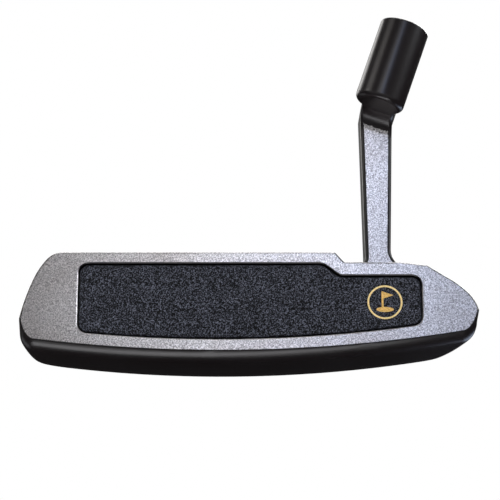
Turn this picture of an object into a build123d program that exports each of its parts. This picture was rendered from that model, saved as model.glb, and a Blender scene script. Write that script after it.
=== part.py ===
from build123d import *
from math import asin, cos, degrees, radians, sin, sqrt, tan
import os

# Right-handed blade putter head with a plumber's neck, millimetres.
# +X runs from toe to heel, -Y is the struck side and +Z is up.

# Setting of the face and the shaft
loft = 3.5
lie = 71.0

# Face outline, with heights (v) measured up the lofted face from its datum line
datum_z = 2.5
toe_x = -58.2
toe_widest_v = 8.0
toe_shoulder = (-54.3, 20.1)
toe_crown = (-51.7, 24.1)
topline_toe_x = -47.6
topline_v = 26.15
step_top_x = 21.6
step_foot_x = 23.9
heel_topline_v = 23.5
heel_fall_x = 38.0
heel_corner = (44.8, 22.75)
heel_slope_end = (49.9, 19.5)
heel_bend = (55.7, 14.8)
heel_x = 58.1
heel_widest_v = 7.8
toe_side_radius = 54.0
toe_shoulder_radius = 20.0
toe_crown_radius = 5.6
toe_low = (-53.2, -6.0)
toe_low_radius = 22.0
heel_bend_radius = 22.0
heel_cheek_radius = 11.4
heel_tip_radius = 8.2
step_radius = 0.8
face_edge_radius = 0.5

# Sole
rocker_radius = 345.0
rocker_x = -7.5
camber_radius = 120.0
sole_low_y = 11.5
front_roll_y = 4.5
front_roll_radius = 5.6
front_roll_angle = 59.5
sole_edge_radius = 4.2

# Planform
head_depth = 29.0
toe_plan_radius = 10.0
toe_plan_lean = 1.3
heel_plan_start_y = 1.0
heel_plan_end_x = 50.0
heel_plan_radius = 8.0
heel_side_radius = 15.0

# Back of the head
topline_depth = 7.0
bumper_z = 17.0
bumper_fall = 2.0
bumper_hollow_radius = 3.0
cavity_half_width = 25.0
cavity_floor_z = 8.6
cavity_wall_lean = 12.0
cavity_corner_radius = 2.5
cavity_mouth_radius = 1.0
topline_back_radius = 0.7
pedestal_margin = 0.7
pedestal_radius = 3.4

# Face pocket and the insert glued into it
pocket_toe_x = -43.45
pocket_heel_x = 43.5
pocket_top_v = 23.25
pocket_low_top_v = 20.05
pocket_step_top_x = 18.5
pocket_step_foot_x = 22.7
pocket_bottom_v = 3.35
pocket_bottom_radius = 350.0
pocket_bottom_x = -8.0
pocket_corner_radius = 2.8
pocket_step_radius = 3.0
pocket_depth = 3.6
pocket_edge_chamfer = 0.25
insert_gap = 0.33
insert_recess = 0.35
insert_edge_chamfer = 0.3
glue_thickness = 0.3
glue_margin = 0.6

# Emblem let into the insert
emblem_x = 34.0
emblem_v = 13.0
emblem_radius = 4.2
emblem_stroke = 0.45
emblem_depth = 0.3
emblem_proud = 0.04
flag_x = -0.6
flag_top = 2.8
flag_reach = 2.8
flag_drop = 1.9
flag_stroke = 0.5
green_v = -1.9
green_half_width = 2.2
green_half_height = 0.65

# Sight line on the flange
sight_line_length = 12.0
sight_line_width = 1.2
sight_line_depth = 0.5
sight_line_recess = 0.08

# Plumber's neck
neck_x = 32.7
neck_front_y = 4.6
neck_depth = 10.5
neck_foot_half_width = 3.2
neck_top_half_width = 4.15
neck_edge_radius = 0.95
elbow_under_z = 65.5
elbow_height = 9.0
elbow_inner_radius = 5.0
elbow_outer_radius = 6.0
elbow_side_radius = 3.0
boss_radius = 6.35
boss_length = 22.0
boss_ahead_of_face = 5.0
boss_edge_radius = 0.5
boss_foot_radius = 1.5
socket_radius = 4.76
socket_depth = 19.0
foot_flare = 2.2
heel_flare_radius = 4.6
toe_flare_radius = 2.6
flare_cut_off = 0.35
spigot_radius = 2.6
spigot_length = 9.0
braze_gap = 0.15

# Longer than any cut or blank needs, and how far one runs on past the back
past = 80.0
overrun = 5.0

# Picking edges: lying on a plane, near a corner, and running mostly one way
touch = 0.01
near = 0.1
mostly = 0.85

face_normal = (0, -cos(radians(loft)), sin(radians(loft)))
face_plane = Plane(origin=(0, 0, datum_z), x_dir=(1, 0, 0), z_dir=face_normal)
shaft_lean = radians(90.0 - lie)


def behind_face(depth):
    """The face's plane, moved back into the head."""
    return face_plane.offset(-depth)


def height_of(v):
    """Height above the ground of a line drawn on the face."""
    return datum_z + v * cos(radians(loft))


def setback_of(v):
    """How far the loft has carried a line on the face back from the datum line."""
    return v * sin(radians(loft))


def side_plane(x):
    """Side view of the head: its x runs back and its y runs up."""
    return Plane(origin=(x, 0, 0), x_dir=(0, 1, 0), z_dir=(1, 0, 0))


def prism_back(outline, length):
    """Blank that keeps a face outline straight along the head's depth."""
    return extrude(outline, amount=length, dir=(0, 1, 0))


def head_outline():
    """Front outline of the head, left open below, where the sole cuts it."""
    low_v = -head_depth / 2
    heel_low = (heel_x - heel_tip_radius, heel_widest_v - heel_tip_radius)
    edges = [
        RadiusArc((toe_x, toe_widest_v), toe_shoulder, toe_side_radius),
        RadiusArc(toe_shoulder, toe_crown, toe_shoulder_radius),
        RadiusArc(toe_crown, (topline_toe_x, topline_v), toe_crown_radius),
        Line((topline_toe_x, topline_v), (step_top_x, topline_v)),
        Line((step_top_x, topline_v), (step_foot_x, heel_topline_v)),
        Line((step_foot_x, heel_topline_v), (heel_fall_x, heel_topline_v)),
        Line((heel_fall_x, heel_topline_v), heel_corner),
        Line(heel_corner, heel_slope_end),
        RadiusArc(heel_slope_end, heel_bend, heel_bend_radius),
        RadiusArc(heel_bend, (heel_x, heel_widest_v), heel_cheek_radius),
        RadiusArc((heel_x, heel_widest_v), heel_low, heel_tip_radius),
        Polyline(heel_low, (heel_low[0], low_v), (toe_low[0], low_v), toe_low),
        RadiusArc(toe_low, (toe_x, toe_widest_v), toe_low_radius),
    ]
    outline = face_plane * make_face(Wire([edge for shape in edges for edge in shape.edges()]))
    corners = [
        face_plane.from_local_coords((step_top_x, topline_v)),
        face_plane.from_local_coords((step_foot_x, heel_topline_v)),
        face_plane.from_local_coords(heel_corner),
    ]
    rounded = [min(outline.vertices(), key=lambda v: (Vector(v) - Vector(c)).length) for c in corners]
    return fillet(rounded, step_radius)


def camber_z(y):
    """Height of the sole's front-to-back camber, along the rocker's low line."""
    return camber_radius - sqrt(camber_radius**2 - (y - sole_low_y) ** 2)


def sole_blank():
    """Everything above the sole: its side profile turned along the rocker."""
    slope = asin((front_roll_y - sole_low_y) / camber_radius)
    roll_centre = Vector(
        front_roll_y - front_roll_radius * sin(slope),
        camber_z(front_roll_y) + front_roll_radius * cos(slope),
    )
    steepest = radians(front_roll_angle)
    roll_start = roll_centre - Vector(sin(steepest), cos(steepest)) * front_roll_radius
    lead_in = roll_start + Vector(-cos(steepest), sin(steepest)) * (head_depth / 2)
    back = head_depth + overrun
    rise = Line(lead_in, roll_start)
    roll = RadiusArc(roll_start, (front_roll_y, camber_z(front_roll_y)), -front_roll_radius)
    camber = RadiusArc(roll @ 1, (back, camber_z(back)), -camber_radius)
    walls = Polyline(camber @ 1, (back, past), (lead_in.X, past), lead_in)
    profile = side_plane(rocker_x) * make_face(Wire([rise, roll, camber, *walls.edges()]))
    rocker_axis = Axis((rocker_x, 0, rocker_radius), (0, 1, 0))
    swing = degrees(asin(past / rocker_radius))
    return revolve(profile, rocker_axis, revolution_arc=2 * swing).rotate(rocker_axis, -swing)


def planform():
    """Prism that rounds the toe and cuts the heel back on a slant."""
    front = -head_depth
    plan = make_face(
        Wire(
            Polyline(
                (toe_x - toe_plan_lean, front),
                (heel_x, front),
                (heel_x, heel_plan_start_y),
                (heel_plan_end_x, head_depth),
                (toe_x + toe_plan_lean, head_depth),
                close=True,
            ).edges()
        )
    )
    for corner, radius in (
        ((toe_x + toe_plan_lean, head_depth), toe_plan_radius),
        ((heel_plan_end_x, head_depth), heel_plan_radius),
        ((heel_x, heel_plan_start_y), heel_side_radius),
    ):
        plan = fillet(nearest_vertex(plan, Vector(*corner)), radius)
    return extrude(plan, amount=past)


def rolled_blank():
    """Planform standing on the sole, with the edge between them rolled."""
    blank = sole_blank() & planform()
    underside = [e for e in blank.edges() if (e @ 0.5).Z < past / 2 and abs((e % 0.5).Z) < mostly]
    around = [e for e in underside if abs((e @ 0.5).X) > heel_x / 2 or (e @ 0.5).Y > head_depth - near]
    return fillet(around, sole_edge_radius)


def shoulder_cut():
    """What is cleared behind the topline, down to the tops of the heel and toe bumpers."""
    front = topline_depth + setback_of(topline_v)
    back = head_depth + overrun
    section = make_face(
        Wire(
            Polyline(
                (front, bumper_z),
                (back, bumper_z - bumper_fall),
                (back, past),
                (front, past),
                close=True,
            ).edges()
        )
    )
    section = fillet(nearest_vertex(section, Vector(front, bumper_z)), bumper_hollow_radius)
    return extrude(side_plane(0) * section, amount=past, both=True)


def pedestal():
    """Column that carries the neck's foot up to the topline."""
    wide = 2 * (neck_foot_half_width + foot_flare + pedestal_margin)
    deep = neck_depth + 2 * (foot_flare + pedestal_margin)
    middle = Location((neck_x, neck_front_y + neck_depth / 2))
    return extrude(middle * RectangleRounded(wide, deep, pedestal_radius), amount=past)


def back_cavity():
    """Open pocket over the flange, between the two bumpers."""
    front = topline_depth + setback_of(topline_v)
    back = head_depth + overrun
    spread = (back - front) * tan(radians(cavity_wall_lean))
    plan = make_face(
        Wire(
            Polyline(
                (-cavity_half_width, front),
                (cavity_half_width, front),
                (cavity_half_width + spread, back),
                (-cavity_half_width - spread, back),
                close=True,
            ).edges()
        )
    )
    for x in (-cavity_half_width, cavity_half_width):
        plan = fillet(nearest_vertex(plan, Vector(x, front)), cavity_corner_radius)
    return extrude(Location((0, 0, cavity_floor_z)) * plan, amount=past)


def pocket_outline():
    """Outline of the face pocket, in the face's own coordinates."""
    toe_foot = (pocket_toe_x, pocket_bottom_at(pocket_toe_x))
    heel_foot = (pocket_heel_x, pocket_bottom_at(pocket_heel_x))
    corners = [
        (toe_foot, pocket_corner_radius),
        ((pocket_toe_x, pocket_top_v), pocket_corner_radius),
        ((pocket_step_top_x, pocket_top_v), pocket_step_radius),
        ((pocket_step_foot_x, pocket_low_top_v), pocket_step_radius),
        ((pocket_heel_x, pocket_low_top_v), pocket_corner_radius),
        (heel_foot, pocket_corner_radius),
    ]
    sides = Polyline(*[corner for corner, _ in corners])
    bottom = RadiusArc(heel_foot, toe_foot, pocket_bottom_radius)
    outline = make_face(Wire([*sides.edges(), bottom]))
    for corner, radius in corners:
        outline = fillet(nearest_vertex(outline, Vector(*corner)), radius)
    return outline


def pocket_bottom_at(x):
    """Height of the pocket's curved bottom edge on the face."""
    return pocket_bottom_v + (x - pocket_bottom_x) ** 2 / (2 * pocket_bottom_radius)


def insert_outline():
    """Pocket's outline, less the gap that shows round the insert."""
    return offset(pocket_outline(), amount=-insert_gap)


def emblem_place(depth):
    """Emblem's centre on the plane that lies this deep behind the face."""
    return behind_face(depth) * Location((emblem_x, emblem_v))


def ring_outline():
    """Thin ring round the emblem."""
    return Circle(emblem_radius + emblem_stroke / 2) - Circle(emblem_radius - emblem_stroke / 2)


def flag_outline():
    """Golf flag standing on its green."""
    pole_height = flag_top - green_v
    pole = Location((flag_x, green_v + pole_height / 2)) * Rectangle(flag_stroke, pole_height)
    pennant = make_face(
        Wire(
            Polyline(
                (flag_x, flag_top),
                (flag_x + flag_reach, flag_top - flag_drop / 2),
                (flag_x, flag_top - flag_drop),
                close=True,
            ).edges()
        )
    )
    green = Location((0, green_v)) * Ellipse(green_half_width, green_half_height)
    return pole + pennant + green


def inlay(outline, proud):
    """Flat inlay let into the insert, standing this far above its face."""
    back = emblem_place(insert_recess + emblem_depth)
    return extrude(back * outline, amount=emblem_depth + proud)


def insert_blank():
    """Insert before the emblem is let in, with its front edge bevelled."""
    thickness = pocket_depth - glue_thickness - insert_recess
    back = behind_face(pocket_depth - glue_thickness)
    blank = extrude(back * insert_outline(), amount=thickness)
    front = blank.faces().sort_by(Axis(back.origin, face_normal))[-1]
    return chamfer(front.edges(), insert_edge_chamfer)


def spigot(radius, length):
    """Round peg under the neck's foot, pointing down."""
    return Location((neck_x, neck_front_y + neck_depth / 2, foot_z - length)) * Cylinder(
        radius, length, align=(Align.CENTER, Align.CENTER, Align.MIN)
    )


def sight_line_slot(depth):
    """Round-ended slot that stands this tall on the sight line's floor."""
    middle_y = (topline_depth + setback_of(topline_v) + head_depth) / 2
    return Location((0, middle_y, cavity_floor_z - sight_line_depth)) * extrude(
        SlotOverall(sight_line_length, sight_line_width, rotation=90), amount=depth
    )


def head_body():
    """Cast and milled head, with its pockets for the insert, the neck and the sight line."""
    head = rolled_blank() & prism_back(head_outline(), head_depth * 2)
    head -= shoulder_cut() - pedestal()
    head -= back_cavity()
    head = fillet([e for e in head.edges() if is_flange_corner(e)], cavity_mouth_radius)
    head = fillet([e for e in head.edges() if is_topline_back(e)], topline_back_radius)
    head = fillet([e for e in head.edges() if is_on_face(e)], face_edge_radius)
    head -= extrude(face_plane * pocket_outline(), amount=-pocket_depth)
    head = chamfer([e for e in head.edges() if is_pocket_mouth(e)], pocket_edge_chamfer)
    head -= spigot(spigot_radius + braze_gap, spigot_length + braze_gap)
    head -= sight_line_slot(past)
    return head


def is_flange_corner(edge):
    """True for the upright corners where the cavity opens at the back."""
    middle = edge @ 0.5
    wide = cavity_half_width < abs(middle.X) < cavity_half_width + head_depth / 4
    return wide and abs(middle.Y - head_depth) < touch and middle.Z > cavity_floor_z + near


def is_topline_back(edge):
    """True for the top edge of the face wall's back, clear of the neck's pedestal."""
    middle = edge @ 0.5
    on_wall = abs(middle.Y - topline_depth - setback_of(topline_v)) < touch
    pedestal_half = neck_foot_half_width + foot_flare + pedestal_margin
    clear = abs(middle.X - neck_x) > pedestal_half + near
    return on_wall and clear and middle.Z > bumper_z + bumper_hollow_radius - near


def is_on_face(edge):
    """True for an edge that lies in the face's plane."""
    return abs(face_plane.to_local_coords(edge @ 0.5).Z) < touch


def is_pocket_mouth(edge):
    """True for the edges that the pocket makes in the face."""
    middle = face_plane.to_local_coords(edge @ 0.5)
    along = pocket_toe_x - near < middle.X < pocket_heel_x + near
    up = pocket_bottom_v - near < middle.Y < pocket_top_v + near
    return is_on_face(edge) and along and up


def neck_side():
    """Post and elbow seen from the toe, with their inner and outer bends."""
    back_y = neck_front_y + neck_depth
    boss_y = -boss_ahead_of_face
    low_z = foot_z - neck_depth
    elbow_top_z = elbow_under_z + elbow_height / cos(shaft_lean)
    section = make_face(
        Wire(
            Polyline(
                (neck_front_y, low_z),
                (neck_front_y, elbow_under_z),
                (boss_y, elbow_under_z),
                (boss_y, elbow_top_z),
                (back_y, elbow_top_z),
                (back_y, low_z),
                close=True,
            ).edges()
        )
    )
    section = fillet(nearest_vertex(section, Vector(neck_front_y, elbow_under_z)), elbow_inner_radius)
    return fillet(nearest_vertex(section, Vector(back_y, elbow_top_z)), elbow_outer_radius)


def neck_front():
    """Post and elbow seen from the front: flared foot, widening post, then the shaft's lean."""
    rise = 2 * elbow_height
    drop = neck_top_half_width * tan(shaft_lean)
    toe_bend = (neck_x - neck_top_half_width, elbow_under_z + drop)
    heel_bend_point = (neck_x + neck_top_half_width, elbow_under_z - drop)
    toe_foot = (neck_x - neck_foot_half_width, foot_z - flare_cut_off)
    heel_foot = (neck_x + neck_foot_half_width, foot_z - flare_cut_off)
    under_z = foot_z - 2 * flare_cut_off
    reach = 2 * heel_flare_radius
    section = make_face(
        Wire(
            Polyline(
                (toe_foot[0] - reach, under_z),
                (toe_foot[0] - reach, toe_foot[1]),
                toe_foot,
                toe_bend,
                (toe_bend[0] + rise * sin(shaft_lean), toe_bend[1] + rise * cos(shaft_lean)),
                (heel_bend_point[0] + rise * sin(shaft_lean), heel_bend_point[1] + rise * cos(shaft_lean)),
                heel_bend_point,
                heel_foot,
                (heel_foot[0] + reach, heel_foot[1]),
                (heel_foot[0] + reach, under_z),
                close=True,
            ).edges()
        )
    )
    bends = [
        (toe_foot, toe_flare_radius),
        (heel_foot, heel_flare_radius),
        (toe_bend, elbow_side_radius),
        (heel_bend_point, elbow_side_radius),
    ]
    for corner, radius in bends:
        section = fillet(nearest_vertex(section, Vector(*corner)), radius)
    above_foot = Location((neck_x, foot_z + past / 2)) * Rectangle(past, past)
    return section & above_foot


def neck_bar():
    """Post and elbow in one bar, with its long edges rounded."""
    downhill = Vector(cos(shaft_lean), 0, -sin(shaft_lean))
    reach = 3 * neck_top_half_width
    side = Location(-downhill * reach) * (side_plane(neck_x) * neck_side())
    slab = extrude(side, amount=2 * reach, dir=downhill)
    bar = slab & extrude(Plane.XZ * neck_front(), amount=past, both=True)
    long_edges = [e for e in bar.edges() if runs_along_neck(e)]
    return fillet(long_edges, neck_edge_radius)


def runs_along_neck(edge):
    """True for the four corners that follow the post and the elbow."""
    middle = edge @ 0.5
    across = abs((edge % 0.5).X) > mostly
    at_end = middle.Z < foot_z + near or middle.Y < near - boss_ahead_of_face
    return not across and not at_end


def boss():
    """Round boss on the shaft's axis, with both rims eased."""
    post = Cylinder(boss_radius, boss_length, align=(Align.CENTER, Align.CENTER, Align.MIN))
    foot = min(post.edges(), key=lambda e: (e @ 0.5).Z)
    post = fillet(foot, boss_foot_radius)
    rim = max(post.edges(), key=lambda e: (e @ 0.5).Z)
    return shaft_frame * fillet(rim, boss_edge_radius)


def shaft_socket():
    """Bore that takes the shaft's tip, open at the top of the boss."""
    depth = Cylinder(socket_radius, past, align=(Align.CENTER, Align.CENTER, Align.MIN))
    return shaft_frame * (Location((0, 0, boss_length - socket_depth)) * depth)


def plumber_neck():
    """Post, elbow and bored boss in one piece, with the spigot that holds it in the head."""
    neck = neck_bar() + boss()
    neck -= shaft_socket()
    return neck + spigot(spigot_radius, spigot_length)


def neck_braze():
    """Film of filler metal round the spigot and under it."""
    film = spigot(spigot_radius + braze_gap, spigot_length + braze_gap)
    return film - spigot(spigot_radius, spigot_length)


def face_insert():
    """Insert with the grooves that the emblem is let into."""
    insert = insert_blank()
    for outline in (ring_outline(), flag_outline()):
        insert -= inlay(outline, emblem_proud)
    return insert


def insert_adhesive():
    """Bed of adhesive between the insert and the pocket's floor."""
    floor = behind_face(pocket_depth)
    return extrude(floor * offset(insert_outline(), amount=-glue_margin), amount=glue_thickness)


def sight_line_fill():
    """Paint that fills the sight line, a little below the flange."""
    return sight_line_slot(sight_line_depth - sight_line_recess)


def nearest_vertex(shape, place):
    """Corner of a shape that lies nearest to a place."""
    return min(shape.vertices(), key=lambda v: (Vector(v) - place).length)


foot_z = height_of(heel_topline_v)
shaft_frame = Plane(
    origin=(neck_x, -boss_ahead_of_face, elbow_under_z),
    x_dir=(cos(shaft_lean), 0, -sin(shaft_lean)),
    z_dir=(sin(shaft_lean), 0, cos(shaft_lean)),
)

pieces = {
    "head_body": head_body(),
    "plumber_neck": plumber_neck(),
    "neck_braze": neck_braze(),
    "face_insert": face_insert(),
    "insert_adhesive": insert_adhesive(),
    "emblem_ring": inlay(ring_outline(), emblem_proud),
    "emblem_flag": inlay(flag_outline(), emblem_proud),
    "sight_line_fill": sight_line_fill(),
}

# The origin is the middle of the underside of the whole head's box
whole = Compound([pieces["head_body"], pieces["plumber_neck"]]).bounding_box()
middle = whole.center()
home = Location((-middle.X, -middle.Y, -whole.min.Z))

os.makedirs("parts", exist_ok=True)
for name, piece in pieces.items():
    export_step(home * piece, f"parts/{name}.step")

socket_middle = shaft_frame.from_local_coords((0, 0, boss_length - socket_depth / 2))
print("origin moved to", middle.X, middle.Y, whole.min.Z)
print("size", whole.size)
print("shaft socket middle", home * Pos(socket_middle))
print("shaft axis", shaft_frame.z_dir)
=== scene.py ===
import math

import bmesh
import bpy
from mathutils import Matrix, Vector, kdtree, noise


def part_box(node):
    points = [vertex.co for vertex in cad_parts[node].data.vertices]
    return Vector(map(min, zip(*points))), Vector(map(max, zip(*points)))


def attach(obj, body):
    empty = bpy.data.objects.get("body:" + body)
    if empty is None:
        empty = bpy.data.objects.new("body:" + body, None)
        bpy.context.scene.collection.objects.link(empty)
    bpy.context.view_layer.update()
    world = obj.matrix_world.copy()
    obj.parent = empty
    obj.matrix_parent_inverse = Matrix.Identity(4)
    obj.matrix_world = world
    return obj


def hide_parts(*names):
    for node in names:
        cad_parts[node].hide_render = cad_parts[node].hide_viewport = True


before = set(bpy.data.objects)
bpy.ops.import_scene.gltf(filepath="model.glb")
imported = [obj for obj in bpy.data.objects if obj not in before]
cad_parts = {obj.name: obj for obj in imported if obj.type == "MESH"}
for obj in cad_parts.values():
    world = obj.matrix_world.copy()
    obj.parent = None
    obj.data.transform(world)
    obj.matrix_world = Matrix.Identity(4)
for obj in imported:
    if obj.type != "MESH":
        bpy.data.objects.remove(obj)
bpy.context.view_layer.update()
mm = 0.001
across = Vector((1, 0, 0))
headLow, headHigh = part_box("head_body")
insertLow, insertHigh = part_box("face_insert")
ringLow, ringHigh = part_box("emblem_ring")
print("frame loaded:", ", ".join(sorted(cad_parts)))

bpy.context.scene.view_settings.view_transform = "Standard"


# node trees

def place(tree, kind, x, y, **settings):
    node = tree.nodes.new(kind)
    node.location = (x, y)
    for name, value in settings.items():
        setattr(node, name, value)
    return node


def spanValue(tree, x, y, low, high, edge=(0, 1)):
    # from low at the edge's first value to high at its second
    node = place(tree, "ShaderNodeMapRange", x, y)
    node.inputs[1].default_value, node.inputs[2].default_value = edge
    node.inputs[3].default_value = low
    node.inputs[4].default_value = high
    return node


def blankGroup(name, inputs, outputs):
    tree = bpy.data.node_groups.new(name, "ShaderNodeTree")
    for label, kind, value in inputs:
        socket = tree.interface.new_socket(label, in_out="INPUT", socket_type=kind)
        if value is not None:
            socket.default_value = value
    for label, kind in outputs:
        tree.interface.new_socket(label, in_out="OUTPUT", socket_type=kind)
    return tree, place(tree, "NodeGroupInput", -900, 0), place(tree, "NodeGroupOutput", 700, 0)


def grainGroup():
    # blasted or moulded grain: two sizes of noise, as a mask and as a height
    pattern = {
        "detail": 2, "roughness": 0.65, "fineRatio": 2.3, "fineDetail": 1, "fineShare": 0.4, "gain": 6}
    tree, start, end = blankGroup(
        "surface grain",
        [("Vector", "NodeSocketVector", None), ("Scale", "NodeSocketFloat", 2400),
         ("Contrast", "NodeSocketFloat", 0.5)],
        [("Mask", "NodeSocketFloat"), ("Height", "NodeSocketFloat")])
    coarse = place(tree, "ShaderNodeTexNoise", -600, 200)
    coarse.inputs["Detail"].default_value = pattern["detail"]
    coarse.inputs["Roughness"].default_value = pattern["roughness"]
    closer = place(tree, "ShaderNodeMath", -700, -100, operation="MULTIPLY")
    closer.inputs[1].default_value = pattern["fineRatio"]
    fine = place(tree, "ShaderNodeTexNoise", -500, -150)
    fine.inputs["Detail"].default_value = pattern["fineDetail"]
    blend = place(tree, "ShaderNodeMix", -250, 50, data_type="FLOAT")
    blend.inputs[0].default_value = pattern["fineShare"]
    centre = place(tree, "ShaderNodeMath", -50, 50, operation="SUBTRACT")
    centre.inputs[1].default_value = 0.5
    spread = place(tree, "ShaderNodeMath", 120, 50, operation="MULTIPLY_ADD")
    spread.inputs[2].default_value = 0.5
    limit = place(tree, "ShaderNodeClamp", 300, 50)
    gain = place(tree, "ShaderNodeMath", 0, 250, operation="MULTIPLY")
    gain.inputs[1].default_value = pattern["gain"]
    link = tree.links.new
    link(start.outputs["Vector"], coarse.inputs["Vector"])
    link(start.outputs["Vector"], fine.inputs["Vector"])
    link(start.outputs["Scale"], coarse.inputs["Scale"])
    link(start.outputs["Scale"], closer.inputs[0])
    link(closer.outputs[0], fine.inputs["Scale"])
    link(coarse.outputs[0], blend.inputs[2])
    link(fine.outputs[0], blend.inputs[3])
    link(blend.outputs[0], centre.inputs[0])
    link(start.outputs["Contrast"], gain.inputs[0])
    link(centre.outputs[0], spread.inputs[0])
    link(gain.outputs[0], spread.inputs[1])
    link(spread.outputs[0], limit.inputs[0])
    link(limit.outputs[0], end.inputs["Mask"])
    link(blend.outputs[0], end.inputs["Height"])
    return tree


def handlingGroup():
    # broad cloudy marks and sparse specks of dust left by handling
    pattern = {"cloudDetail": 4, "dotEdge": (0.06, 0.22)}
    tree, start, end = blankGroup(
        "handling marks",
        [("Vector", "NodeSocketVector", None), ("Cloud Scale", "NodeSocketFloat", 90),
         ("Speck Scale", "NodeSocketFloat", 900), ("Speck Share", "NodeSocketFloat", 0.1)],
        [("Cloud", "NodeSocketFloat"), ("Specks", "NodeSocketFloat")])
    cloud = place(tree, "ShaderNodeTexNoise", -500, 200)
    cloud.inputs["Detail"].default_value = pattern["cloudDetail"]
    specks = place(tree, "ShaderNodeTexVoronoi", -500, -100)
    keep = place(tree, "ShaderNodeMath", -250, -250, operation="LESS_THAN")
    draw = place(tree, "ShaderNodeSeparateColor", -400, -300)
    dot = spanValue(tree, -250, -50, 1, 0, pattern["dotEdge"])
    both = place(tree, "ShaderNodeMath", 0, -100, operation="MULTIPLY")
    link = tree.links.new
    link(start.outputs["Vector"], cloud.inputs["Vector"])
    link(start.outputs["Vector"], specks.inputs["Vector"])
    link(start.outputs["Cloud Scale"], cloud.inputs["Scale"])
    link(start.outputs["Speck Scale"], specks.inputs["Scale"])
    link(specks.outputs["Color"], draw.inputs[0])
    link(draw.outputs[0], keep.inputs[0])
    link(start.outputs["Speck Share"], keep.inputs[1])
    link(specks.outputs["Distance"], dot.inputs[0])
    link(dot.outputs[0], both.inputs[0])
    link(keep.outputs[0], both.inputs[1])
    link(cloud.outputs[0], end.inputs["Cloud"])
    link(both.outputs[0], end.inputs["Specks"])
    return tree


def edgeGroup():
    # how far the surface turns within a short radius: bright on corners that rub
    pattern = {"samples": 4, "turnEdge": (0.985, 0.86), "breakEdge": (0.38, 0.62)}
    tree, start, end = blankGroup(
        "rubbed edges",
        [("Radius", "NodeSocketFloat", 0.3 * mm), ("Noise", "NodeSocketFloat", 0.5)],
        [("Mask", "NodeSocketFloat")])
    rounded = place(tree, "ShaderNodeBevel", -600, 100, samples=pattern["samples"])
    surface = place(tree, "ShaderNodeNewGeometry", -600, -100)
    facing = place(tree, "ShaderNodeVectorMath", -400, 0, operation="DOT_PRODUCT")
    turned = spanValue(tree, -200, 0, 0, 1, pattern["turnEdge"])
    broken = spanValue(tree, -200, -250, 0, 1, pattern["breakEdge"])
    both = place(tree, "ShaderNodeMath", 50, 0, operation="MULTIPLY")
    link = tree.links.new
    link(start.outputs["Radius"], rounded.inputs["Radius"])
    link(rounded.outputs[0], facing.inputs[0])
    link(surface.outputs["Normal"], facing.inputs[1])
    link(facing.outputs["Value"], turned.inputs[0])
    link(start.outputs["Noise"], broken.inputs[0])
    link(turned.outputs[0], both.inputs[0])
    link(broken.outputs[0], both.inputs[1])
    link(both.outputs[0], end.inputs["Mask"])
    return tree


grainTree = grainGroup()
handlingTree = handlingGroup()
edgeTree = edgeGroup()


def startMaterial(name):
    material = bpy.data.materials.new(name)
    material.use_nodes = True
    tree = material.node_tree
    shader = tree.nodes["Principled BSDF"]
    shader.location = (500, 0)
    coordinates = place(tree, "ShaderNodeTexCoord", -1100, 0)
    return material, tree, shader, coordinates.outputs["Object"]


def useGroup(tree, group, x, y, **values):
    node = place(tree, "ShaderNodeGroup", x, y, node_tree=group)
    for name, value in values.items():
        node.inputs[name.replace("_", " ")].default_value = value
    return node


def mixColour(tree, x, y, first, second):
    node = place(tree, "ShaderNodeMix", x, y, data_type="RGBA")
    node.inputs[6].default_value = (*first, 1)
    node.inputs[7].default_value = (*second, 1)
    return node


def addBump(tree, x, y, height, strength, distance, shader):
    bump = place(tree, "ShaderNodeBump", x, y)
    bump.inputs["Strength"].default_value = strength
    bump.inputs["Distance"].default_value = distance
    tree.links.new(height, bump.inputs["Height"])
    tree.links.new(bump.outputs[0], shader.inputs["Normal"])
    return bump


def blastedSteel():
    blasted = {
        "pit": (0.30, 0.29, 0.295),
        "peak": (0.97, 0.95, 0.96),
        "grain": 2900,       # grains to the metre
        "contrast": 0.85,
        "smooth": 0.31,
        "rough": 0.43,
        "bump": 0.45,
        "depth": 0.06 * mm,
        "cloud": 45,
        "cloudEdge": (0.45, 0.75),
        "stained": (0.80, 0.77, 0.75),
    }
    material, tree, shader, where = startMaterial("blasted steel")
    shader.inputs["Metallic"].default_value = 1
    grain = useGroup(tree, grainTree, -800, 100, Scale=blasted["grain"], Contrast=blasted["contrast"])
    marks = useGroup(tree, handlingTree, -800, -200, Cloud_Scale=blasted["cloud"])
    colour = mixColour(tree, -300, 200, blasted["pit"], blasted["peak"])
    tarnish = mixColour(tree, 0, 200, (1, 1, 1), blasted["stained"])
    stain = place(tree, "ShaderNodeMix", 200, 200, data_type="RGBA", blend_type="MULTIPLY")
    stain.inputs[0].default_value = 1
    roughness = spanValue(tree, -300, -100, blasted["rough"], blasted["smooth"])
    cloudy = spanValue(tree, -500, -300, 0, 1, blasted["cloudEdge"])
    link = tree.links.new
    link(where, grain.inputs["Vector"])
    link(where, marks.inputs["Vector"])
    link(grain.outputs["Mask"], colour.inputs[0])
    link(grain.outputs["Mask"], roughness.inputs[0])
    link(marks.outputs["Cloud"], cloudy.inputs[0])
    link(cloudy.outputs[0], tarnish.inputs[0])
    link(colour.outputs[2], stain.inputs[6])
    link(tarnish.outputs[2], stain.inputs[7])
    link(stain.outputs[2], shader.inputs["Base Color"])
    link(roughness.outputs[0], shader.inputs["Roughness"])
    addBump(tree, 200, -300, grain.outputs["Height"], blasted["bump"], blasted["depth"], shader)
    return material


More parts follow.
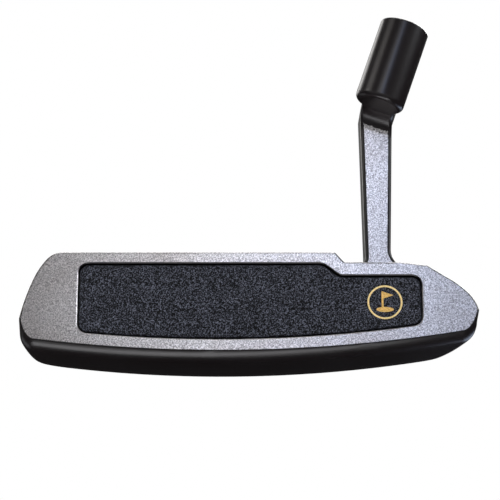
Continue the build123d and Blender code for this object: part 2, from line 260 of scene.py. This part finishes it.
def satinBlack():
    satin = {
        "coat": (0.0042, 0.0026, 0.0030),
        "faded": (0.0068, 0.0052, 0.0057),
        "bare": (0.10, 0.10, 0.105),
        "smooth": 0.25,
        "rough": 0.34,
        "rubRadius": 0.25 * mm,
        "rubShare": 0.35,
        "cloud": 70,
        "grain": 5200,
        "contrast": 0.4,
        "bump": 0.12,
        "depth": 0.02 * mm,
    }
    material, tree, shader, where = startMaterial("satin black")
    grain = useGroup(tree, grainTree, -800, 100, Scale=satin["grain"], Contrast=satin["contrast"])
    marks = useGroup(tree, handlingTree, -800, -200, Cloud_Scale=satin["cloud"])
    edges = useGroup(tree, edgeTree, -500, -500, Radius=satin["rubRadius"])
    colour = mixColour(tree, -300, 300, satin["coat"], satin["faded"])
    rubbed = mixColour(tree, 0, 300, (0, 0, 0), satin["bare"])
    faint = place(tree, "ShaderNodeMath", -150, 0, operation="MULTIPLY")
    faint.inputs[1].default_value = satin["rubShare"]
    roughness = spanValue(tree, -300, -100, satin["smooth"], satin["rough"])
    link = tree.links.new
    link(where, grain.inputs["Vector"])
    link(where, marks.inputs["Vector"])
    link(marks.outputs["Cloud"], colour.inputs[0])
    link(marks.outputs["Cloud"], edges.inputs["Noise"])
    link(edges.outputs["Mask"], faint.inputs[0])
    link(faint.outputs[0], rubbed.inputs[0])
    link(colour.outputs[2], rubbed.inputs[6])
    link(rubbed.outputs[2], shader.inputs["Base Color"])
    link(marks.outputs["Cloud"], roughness.inputs[0])
    link(roughness.outputs[0], shader.inputs["Roughness"])
    addBump(tree, 200, -300, grain.outputs["Height"], satin["bump"], satin["depth"], shader)
    return material


def wrinkledInsert():
    rubber = {
        "valley": (0.0004, 0.0004, 0.0008),
        # crestGlint is a painted highlight: the bluish glints of the lights on the wrinkle crests
        "crestGlint": (0.150, 0.160, 0.205),
        "smooth": 0.18,
        "rough": 0.42,
        "shine": 0.16,
        "grain": 2900,
        "contrast": 1.6,
        "grainShare": 0.68,     # against the real wrinkles
        "crestGlintEdge": (0.69, 0.97),
        "cloud": 60,
        "dust": 900,            # specks to the metre
        "dustShare": 0.05,
        "dustColour": (0.12, 0.125, 0.14),
        "bump": 0.8,
        "depth": 0.08 * mm,
    }
    material, tree, shader, where = startMaterial("wrinkled insert")
    shader.inputs["Specular IOR Level"].default_value = rubber["shine"]
    grain = useGroup(tree, grainTree, -800, 100, Scale=rubber["grain"], Contrast=rubber["contrast"])
    marks = useGroup(
        tree, handlingTree, -800, -200, Cloud_Scale=rubber["cloud"], Speck_Scale=rubber["dust"],
        Speck_Share=rubber["dustShare"])
    raised = place(tree, "ShaderNodeAttribute", -800, 350, attribute_name="wrinkle")
    both = place(tree, "ShaderNodeMix", -500, 250, data_type="FLOAT")
    both.inputs[0].default_value = rubber["grainShare"]
    # this mask paints highlight glints into the base colour on the highest wrinkles and grain
    crestGlint = spanValue(tree, -450, 50, 0, 1, rubber["crestGlintEdge"])
    colour = mixColour(tree, -300, 200, rubber["valley"], rubber["crestGlint"])
    dusty = mixColour(tree, 0, 200, (0, 0, 0), rubber["dustColour"])
    roughness = spanValue(tree, -300, -100, rubber["rough"], rubber["smooth"])
    link = tree.links.new
    link(where, grain.inputs["Vector"])
    link(where, marks.inputs["Vector"])
    link(raised.outputs["Fac"], both.inputs[2])
    link(grain.outputs["Mask"], both.inputs[3])
    link(both.outputs[0], crestGlint.inputs[0])
    link(crestGlint.outputs[0], colour.inputs[0])
    link(crestGlint.outputs[0], roughness.inputs[0])
    link(marks.outputs["Specks"], dusty.inputs[0])
    link(colour.outputs[2], dusty.inputs[6])
    link(dusty.outputs[2], shader.inputs["Base Color"])
    link(roughness.outputs[0], shader.inputs["Roughness"])
    addBump(tree, 200, -300, grain.outputs["Height"], rubber["bump"], rubber["depth"], shader)
    return material


def paintedMetal(paint):
    # one colour that wanders between two shades, with a fine grain
    material, tree, shader, where = startMaterial(paint["name"])
    shader.inputs["Metallic"].default_value = paint["metallic"]
    grain = useGroup(tree, grainTree, -800, 100, Scale=paint["grain"], Contrast=0.6)
    colour = mixColour(tree, -300, 200, paint["low"], paint["high"])
    roughness = spanValue(tree, -300, -100, paint["smooth"], paint["rough"])
    link = tree.links.new
    link(where, grain.inputs["Vector"])
    link(grain.outputs["Mask"], colour.inputs[0])
    link(grain.outputs["Mask"], roughness.inputs[0])
    link(colour.outputs[2], shader.inputs["Base Color"])
    link(roughness.outputs[0], shader.inputs["Roughness"])
    addBump(tree, 200, -300, grain.outputs["Height"], 0.35, 0.03 * mm, shader)
    return material


blastedFinish = blastedSteel()
blackFinish = satinBlack()
insertFinish = wrinkledInsert()

# fills and hidden joints, which keep their CAD shape
paints = {
    "emblem_ring": {
        "name": "pale gold line", "low": (0.62, 0.42, 0.13), "high": (0.95, 0.76, 0.38),
        "metallic": 0.6, "smooth": 0.3, "rough": 0.5, "grain": 2600},
    "emblem_flag": {
        "name": "gold leaf", "low": (0.50, 0.28, 0.06), "high": (0.86, 0.56, 0.18),
        "metallic": 0.6, "smooth": 0.3, "rough": 0.55, "grain": 1900},
    "sight_line_fill": {
        "name": "white paint", "low": (0.66, 0.65, 0.62), "high": (0.82, 0.81, 0.78),
        "metallic": 0, "smooth": 0.35, "rough": 0.55, "grain": 1500},
    "neck_braze": {
        "name": "blackened braze", "low": (0.010, 0.008, 0.007), "high": (0.035, 0.026, 0.018),
        "metallic": 0.5, "smooth": 0.4, "rough": 0.6, "grain": 3000},
    "insert_adhesive": {
        "name": "grey epoxy", "low": (0.05, 0.05, 0.05), "high": (0.11, 0.11, 0.10),
        "metallic": 0, "smooth": 0.4, "rough": 0.6, "grain": 1500},
}
for node, paint in paints.items():
    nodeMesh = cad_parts[node].data
    nodeMesh.materials.clear()
    nodeMesh.materials.append(paintedMetal(paint))
print("materials made:", len(bpy.data.materials))


# steel shells: the head and the neck, merged, with the blasted flats told apart

face = {
    "loft": math.radians(3.5),
    "flatWithin": math.radians(1.5),
    "chamferWithin": math.radians(60),
    "chamferShadeDown": 0.3,           # the chamfer that looks down is left black as painted shade, though the blasting would reach it too
    "chamferDepth": 0.3 * mm,     # deeper than the pocket's chamfer, far from its floor
    "topUp": 0.1,                 # the topline's own edge is blasted too
    "topAcross": 0.2,
    "touch": 0.01 * mm,
    "lie": math.radians(71),
    "bendTo": math.radians(24),   # how far round the elbow's inside the blasting reaches
    "bendReach": 6 * mm,
    "bendFrom": 50 * mm,
    "edgeBreak": 0.12 * mm,
    "sharpFrom": math.radians(32),
    "weld": 0.001 * mm,
    "dissolve": math.radians(0.1),
}
faceNormal = Vector((0, -math.cos(face["loft"]), math.sin(face["loft"])))
faceUp = Vector((0, math.sin(face["loft"]), math.cos(face["loft"])))


def mergedCopy(node, name):
    mesh = bpy.data.meshes.new(name)
    shape = bmesh.new()
    shape.from_mesh(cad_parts[node].data)
    bmesh.ops.remove_doubles(shape, verts=shape.verts, dist=face["weld"])
    bmesh.ops.dissolve_limit(
        shape, angle_limit=face["dissolve"], verts=shape.verts, edges=shape.edges)
    return mesh, shape


def finishPiece(name, mesh, shape, materials, node):
    shape.to_mesh(mesh)
    shape.free()
    for material in materials:
        mesh.materials.append(material)
    mesh.shade_smooth()
    mesh.set_sharp_from_angle(angle=face["sharpFrom"])
    piece = bpy.data.objects.new(name, mesh)
    bpy.context.scene.collection.objects.link(piece)
    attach(piece, "root")
    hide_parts(node)
    return piece


def breakEdges(piece):
    edge = piece.modifiers.new("edge break", "BEVEL")
    edge.width = face["edgeBreak"]
    edge.segments = 2
    edge.limit_method = "ANGLE"
    edge.angle_limit = face["sharpFrom"]
    edge.harden_normals = False
    even = piece.modifiers.new("even shading", "WEIGHTED_NORMAL")
    even.keep_sharp = True
    even.weight = 100


def headShell():
    mesh, shape = mergedCopy("head_body", "headShell")
    flatTurn = math.cos(face["flatWithin"])
    edgeTurn = math.cos(face["chamferWithin"])
    flat = [f for f in shape.faces if f.normal.dot(faceNormal) > flatTurn]
    front = max(f.calc_center_median().dot(faceNormal) for f in flat)
    centre = (insertLow + insertHigh) / 2
    reach = face["chamferDepth"] * 2
    for f in shape.faces:
        middle = f.calc_center_median()
        behind = front - middle.dot(faceNormal)
        turned = f.normal.dot(faceNormal)
        onFace = behind < face["touch"] and turned > flatTurn
        onEdge = behind < face["chamferDepth"] and turned > edgeTurn
        byPocket = insertLow.x - reach < middle.x < insertHigh.x + reach
        inward = byPocket and f.normal.dot(centre - middle) > 0
        # chamfer faces that look down keep the black finish: painted shade along the pocket's upper
        # edge
        onChamfer = onEdge and inward and f.normal.z > -face["chamferShadeDown"]
        onTop = onEdge and f.normal.z > face["topUp"] and abs(f.normal.x) < face["topAcross"]
        f.material_index = int(onFace or onChamfer or onTop)
    finishes = [blackFinish, blastedFinish]
    piece = finishPiece("headShell", mesh, shape, finishes, "head_body")
    breakEdges(piece)
    return piece


def neckShell():
    mesh, shape = mergedCopy("plumber_neck", "neckShell")
    flatTurn = math.cos(face["flatWithin"])
    ahead = Vector((0, -1, 0))
    downhill = Vector((math.sin(face["lie"]), 0, -math.cos(face["lie"])))
    flat = [f for f in shape.faces if f.normal.dot(ahead) > flatTurn]
    front = max(flat, key=lambda f: f.calc_area()).calc_center_median().y
    for f in shape.faces:
        middle = f.calc_center_median()
        turned = f.normal.dot(ahead)
        onPost = abs(middle.y - front) < face["touch"] and turned > flatTurn
        level = abs(f.normal.dot(downhill)) < math.sin(face["flatWithin"])
        close = middle.y > front - face["bendReach"] and middle.z > face["bendFrom"]
        inBend = level and close and turned > math.cos(face["bendTo"])
        f.material_index = int(onPost or inBend)
    finishes = [blackFinish, blastedFinish]
    piece = finishPiece("neckShell", mesh, shape, finishes, "plumber_neck")
    breakEdges(piece)
    return piece


head = headShell()
neck = neckShell()
print("steel shells:", len(head.data.polygons), "and", len(neck.data.polygons), "faces")


# face insert: the CAD plate with its front cut fine enough to carry real wrinkles

insert = {
    "cell": 0.16 * mm,
    "height": 0.13 * mm,
    "size": 0.5 * mm,
    "rimFade": 0.45 * mm,
    "discFade": 0.4 * mm,
    "discShare": 0.15,      # how much of the wrinkle is left inside the emblem
    "drift": 0.5,
    "driftScale": 0.4,
    "crease": 3.2,
    "pebble": 0.6,
    "share": 0.6,
    "seed": 1,
}
# without a seed the drift starts from the clock, and each run would draw other folds
noise.seed_set(insert["seed"])


def cutAcross(shape, faces, axis, step):
    low = min(v.co.dot(axis) for f in faces for v in f.verts)
    high = max(v.co.dot(axis) for f in faces for v in f.verts)
    count = round((high - low) / step)
    done = []
    for cut in range(1, count):
        at = low + (high - low) * cut / count
        edges = {e for f in faces for e in f.edges}
        corners = {v for f in faces for v in f.verts}
        result = bmesh.ops.bisect_plane(
            shape, geom=[*faces, *edges, *corners], dist=0.0001 * mm,
            plane_co=axis * at, plane_no=axis)
        pieces = [g for g in result["geom"] if isinstance(g, bmesh.types.BMFace)]
        done += [f for f in pieces if f.calc_center_median().dot(axis) <= at]
        faces = [f for f in pieces if f.calc_center_median().dot(axis) > at]
    return done + faces


def wrinkle(spot):
    # worm-like folds with smaller pebbles between them, about -1 to 1
    at = spot / insert["size"]
    drift = noise.noise_vector(at * insert["driftScale"]) * insert["drift"]
    fold = 1 - insert["crease"] * abs(noise.noise(at + drift))
    pebble = noise.noise(at / insert["pebble"])
    return insert["share"] * (fold + pebble)


def faceInsert():
    mesh, shape = mergedCopy("face_insert", "faceInsert")
    level = shape.verts.layers.float.new("wrinkle")
    flat = [f for f in shape.faces if f.normal.dot(faceNormal) > math.cos(face["flatWithin"])]
    front = max(f.calc_center_median().dot(faceNormal) for f in flat)
    flat = [f for f in flat if front - f.calc_center_median().dot(faceNormal) < face["touch"]]
    flat = cutAcross(shape, flat, faceUp, insert["cell"])
    flat = cutAcross(shape, flat, across, insert["cell"])
    inside = set(flat)
    corners = {v for f in flat for v in f.verts}
    rim = [v for v in corners if any(f not in inside for f in v.link_faces)]
    near = kdtree.KDTree(len(rim))
    for index, v in enumerate(rim):
        near.insert(v.co, index)
    near.balance()
    emblem = (ringLow + ringHigh) / 2
    ringRadius = (ringHigh.x - ringLow.x) / 2
    for v in corners:
        gap = near.find(v.co)[2]
        share = min(1, gap / insert["rimFade"])
        share = share * share * (3 - 2 * share)
        fromRing = Vector((v.co.x - emblem.x, v.co.z - emblem.z)).length - ringRadius
        outside = min(1, max(0, fromRing / insert["discFade"]))
        share *= insert["discShare"] + (1 - insert["discShare"]) * outside
        lift = wrinkle(v.co) * share
        v[level] = 0.5 + 0.5 * lift
        v.co += faceNormal * insert["height"] * lift
    piece = finishPiece("faceInsert", mesh, shape, [insertFinish], "face_insert")
    return piece


plate = faceInsert()
print("face insert:", len(plate.data.polygons), "faces")


# studio: pale floor seen only from above, softboxes and a white surround

studio = {
    "floorHalf": 3.0,
    "floorGap": 0.02 * mm,
    "floorColour": (0.88, 0.88, 0.88, 1),
    "floorLift": 0.34,      # keeps the far floor as pale as the floor near the lights
    "surround": (1, 1, 1, 1),
    "fill": 0.6,
    "glossAbove": 0.05,
    "glossBelow": 0.004,
    "glossEdge": (-0.1, 0.5),
    "frontGlow": 0.36,      # pale floor ahead of the face, seen only in its reflection
    "glowBottom": (-0.60, -0.42),
    "glowTop": (0, 0.2),
    "glowAhead": (-0.25, -0.6),
}


def layFloor():
    mesh = bpy.data.meshes.new("floor")
    shape = bmesh.new()
    bmesh.ops.create_grid(shape, x_segments=1, y_segments=1, size=studio["floorHalf"])
    bmesh.ops.translate(shape, verts=shape.verts, vec=(0, 0, -studio["floorGap"]))
    shape.to_mesh(mesh)
    shape.free()
    floor = bpy.data.objects.new("floor", mesh)
    bpy.context.scene.collection.objects.link(floor)
    material = bpy.data.materials.new("studio floor")
    material.use_nodes = True
    tree = material.node_tree
    tree.nodes.remove(tree.nodes["Principled BSDF"])
    output = tree.nodes["Material Output"]
    card = place(tree, "ShaderNodeBsdfDiffuse", -200, 100)
    card.inputs["Color"].default_value = studio["floorColour"]
    clear = place(tree, "ShaderNodeBsdfTransparent", -200, -50)
    lift = place(tree, "ShaderNodeEmission", -400, 0)
    path = place(tree, "ShaderNodeLightPath", -800, 0)
    seen = place(tree, "ShaderNodeMath", -600, 0, operation="MULTIPLY")
    seen.inputs[1].default_value = studio["floorLift"]
    pale = place(tree, "ShaderNodeAddShader", -100, 100)
    side = place(tree, "ShaderNodeNewGeometry", -400, 200)
    choose = place(tree, "ShaderNodeMixShader", 50, 50)
    tree.links.new(side.outputs["Backfacing"], choose.inputs[0])
    tree.links.new(path.outputs["Is Camera Ray"], seen.inputs[0])
    tree.links.new(seen.outputs[0], lift.inputs["Strength"])
    tree.links.new(card.outputs[0], pale.inputs[0])
    tree.links.new(lift.outputs[0], pale.inputs[1])
    tree.links.new(pale.outputs[0], choose.inputs[1])
    tree.links.new(clear.outputs[0], choose.inputs[2])
    tree.links.new(choose.outputs[0], output.inputs["Surface"])
    mesh.materials.append(material)
    floor.visible_glossy = False
    floor.visible_shadow = False


def surround():
    world = bpy.data.worlds.new("surround")
    world.use_nodes = True
    tree = world.node_tree
    tree.nodes.clear()
    output = place(tree, "ShaderNodeOutputWorld", 600, 0)
    seen = place(tree, "ShaderNodeBackground", 0, 150)
    seen.inputs["Color"].default_value = studio["surround"]
    fill = place(tree, "ShaderNodeBackground", 0, 0)
    fill.inputs["Color"].default_value = studio["surround"]
    fill.inputs["Strength"].default_value = studio["fill"]
    gloss = place(tree, "ShaderNodeBackground", 0, -150)
    gloss.inputs["Color"].default_value = studio["surround"]
    path = place(tree, "ShaderNodeLightPath", 0, 500)
    coordinates = place(tree, "ShaderNodeTexCoord", -600, -200)
    split = place(tree, "ShaderNodeSeparateXYZ", -400, -200)
    horizon = spanValue(
        tree, -200, -200, studio["glossBelow"], studio["glossAbove"], studio["glossEdge"])
    fromBelow = spanValue(tree, -200, -450, 0, studio["frontGlow"], studio["glowBottom"])
    upTo = spanValue(tree, -200, -700, 1, 0, studio["glowTop"])
    ahead = spanValue(tree, -200, -950, 0, 1, studio["glowAhead"])
    level = place(tree, "ShaderNodeMath", 0, -500, operation="MULTIPLY")
    glow = place(tree, "ShaderNodeMath", 100, -600, operation="MULTIPLY_ADD")
    shine = place(tree, "ShaderNodeMixShader", 200, -50)
    view = place(tree, "ShaderNodeMixShader", 400, 0)
    link = tree.links.new
    link(coordinates.outputs["Generated"], split.inputs[0])
    link(split.outputs["Z"], horizon.inputs[0])
    link(split.outputs["Z"], fromBelow.inputs[0])
    link(split.outputs["Z"], upTo.inputs[0])
    link(split.outputs["Y"], ahead.inputs[0])
    link(fromBelow.outputs[0], level.inputs[0])
    link(upTo.outputs[0], level.inputs[1])
    link(level.outputs[0], glow.inputs[0])
    link(ahead.outputs[0], glow.inputs[1])
    link(horizon.outputs[0], glow.inputs[2])
    link(glow.outputs[0], gloss.inputs["Strength"])
    link(path.outputs["Is Glossy Ray"], shine.inputs[0])
    link(fill.outputs[0], shine.inputs[1])
    link(gloss.outputs[0], shine.inputs[2])
    link(path.outputs["Is Camera Ray"], view.inputs[0])
    link(shine.outputs[0], view.inputs[1])
    link(seen.outputs[0], view.inputs[2])
    link(view.outputs[0], output.inputs["Surface"])
    bpy.context.scene.world = world


aimPoint = Vector(((headLow.x + headHigh.x) / 2, headLow.y, (headLow.z + headHigh.z) / 2))

# side and height are angles seen from the middle of the face, side towards the heel
softboxes = {
    "keyBox": {"side": -1, "height": 24.5, "away": 0.30, "size": (0.085, 0.10), "power": 0.062,
               "colour": (1.0, 0.98, 0.965)},
    "coolBox": {"side": 10, "height": 22, "away": 0.32, "size": (0.04, 0.14), "power": 0.066,
                "colour": (0.58, 0.69, 1.0)},
    "overhead": {"side": 0, "height": 88, "away": 0.9, "size": (0.7, 0.5), "power": 3.0,
                 "colour": (1, 1, 1)},
    "rollCard": {"side": -28, "height": -76, "away": 0.36, "size": (0.34, 0.11), "power": 0.48,
                 "colour": (0.98, 0.97, 1.0)},
    "heelGlow": {"side": 141, "height": -25, "away": 0.45, "size": (0.12, 0.30), "power": 0.27,
                 "colour": (0.66, 0.77, 1.0)},
    "toeGlow": {"side": -122, "height": -25, "away": 0.45, "size": (0.15, 0.30), "power": 0.10,
                "colour": (0.92, 0.95, 1.0)},
    "sideRight": {"side": 78, "height": 26, "away": 0.8, "size": (0.35, 0.35), "power": 2.0,
                  "colour": (0.92, 0.95, 1.0)},
    "sideLeft": {"side": -65, "height": 30, "away": 0.8, "size": (0.35, 0.35), "power": 1.0,
                 "colour": (1.0, 0.97, 0.94)},
    "backRight": {"side": 150, "height": 35, "away": 0.8, "size": (0.4, 0.3), "power": 6.0,
                  "colour": (1, 1, 1)},
    "backLeft": {"side": -143, "height": 26, "away": 0.8, "size": (0.42, 0.42), "power": 1.8,
                 "colour": (1, 0.98, 0.96)},
}


def hangSoftbox(name, box):
    side = math.radians(box["side"])
    height = math.radians(box["height"])
    level = math.cos(height)
    towards = Vector((math.sin(side) * level, -math.cos(side) * level, math.sin(height)))
    lamp = bpy.data.lights.new(name, "AREA")
    lamp.shape = "RECTANGLE"
    lamp.size, lamp.size_y = box["size"]
    lamp.energy = box["power"]
    lamp.color = box["colour"]
    holder = bpy.data.objects.new(name, lamp)
    holder.location = aimPoint + towards * box["away"]
    holder.rotation_euler = towards.to_track_quat("Z", "Y").to_euler()
    holder.visible_camera = False
    bpy.context.scene.collection.objects.link(holder)


layFloor()
surround()
for name, box in softboxes.items():
    hangSoftbox(name, box)
print("studio lit with", len(softboxes), "softboxes")


# camera: square on to the face, looking up from a little below the sole

view = {
    "distance": 0.5,
    "below": math.radians(14),
    "frameWidth": 126.9 * mm,
    "sensor": 36,
    "clip": 0.01,
    "aimSide": 0.225 * mm,
    "aimIn": 1.7 * mm,
    "aimUp": 29.15 * mm,
}
lookAt = Vector((aimPoint.x + view["aimSide"], aimPoint.y + view["aimIn"], view["aimUp"]))
backOff = Vector((0, -math.cos(view["below"]), -math.sin(view["below"])))
lens = bpy.data.cameras.new("camera")
lens.sensor_width = view["sensor"]
lens.lens = view["sensor"] * view["distance"] / view["frameWidth"]
lens.clip_start = view["clip"]
camera = bpy.data.objects.new("camera", lens)
camera.location = lookAt + backOff * view["distance"]
camera.rotation_euler = (math.pi / 2 + view["below"], 0, 0)
bpy.context.scene.collection.objects.link(camera)
bpy.context.scene.camera = camera
print("camera", [round(c, 4) for c in camera.location], "lens", round(lens.lens, 2))
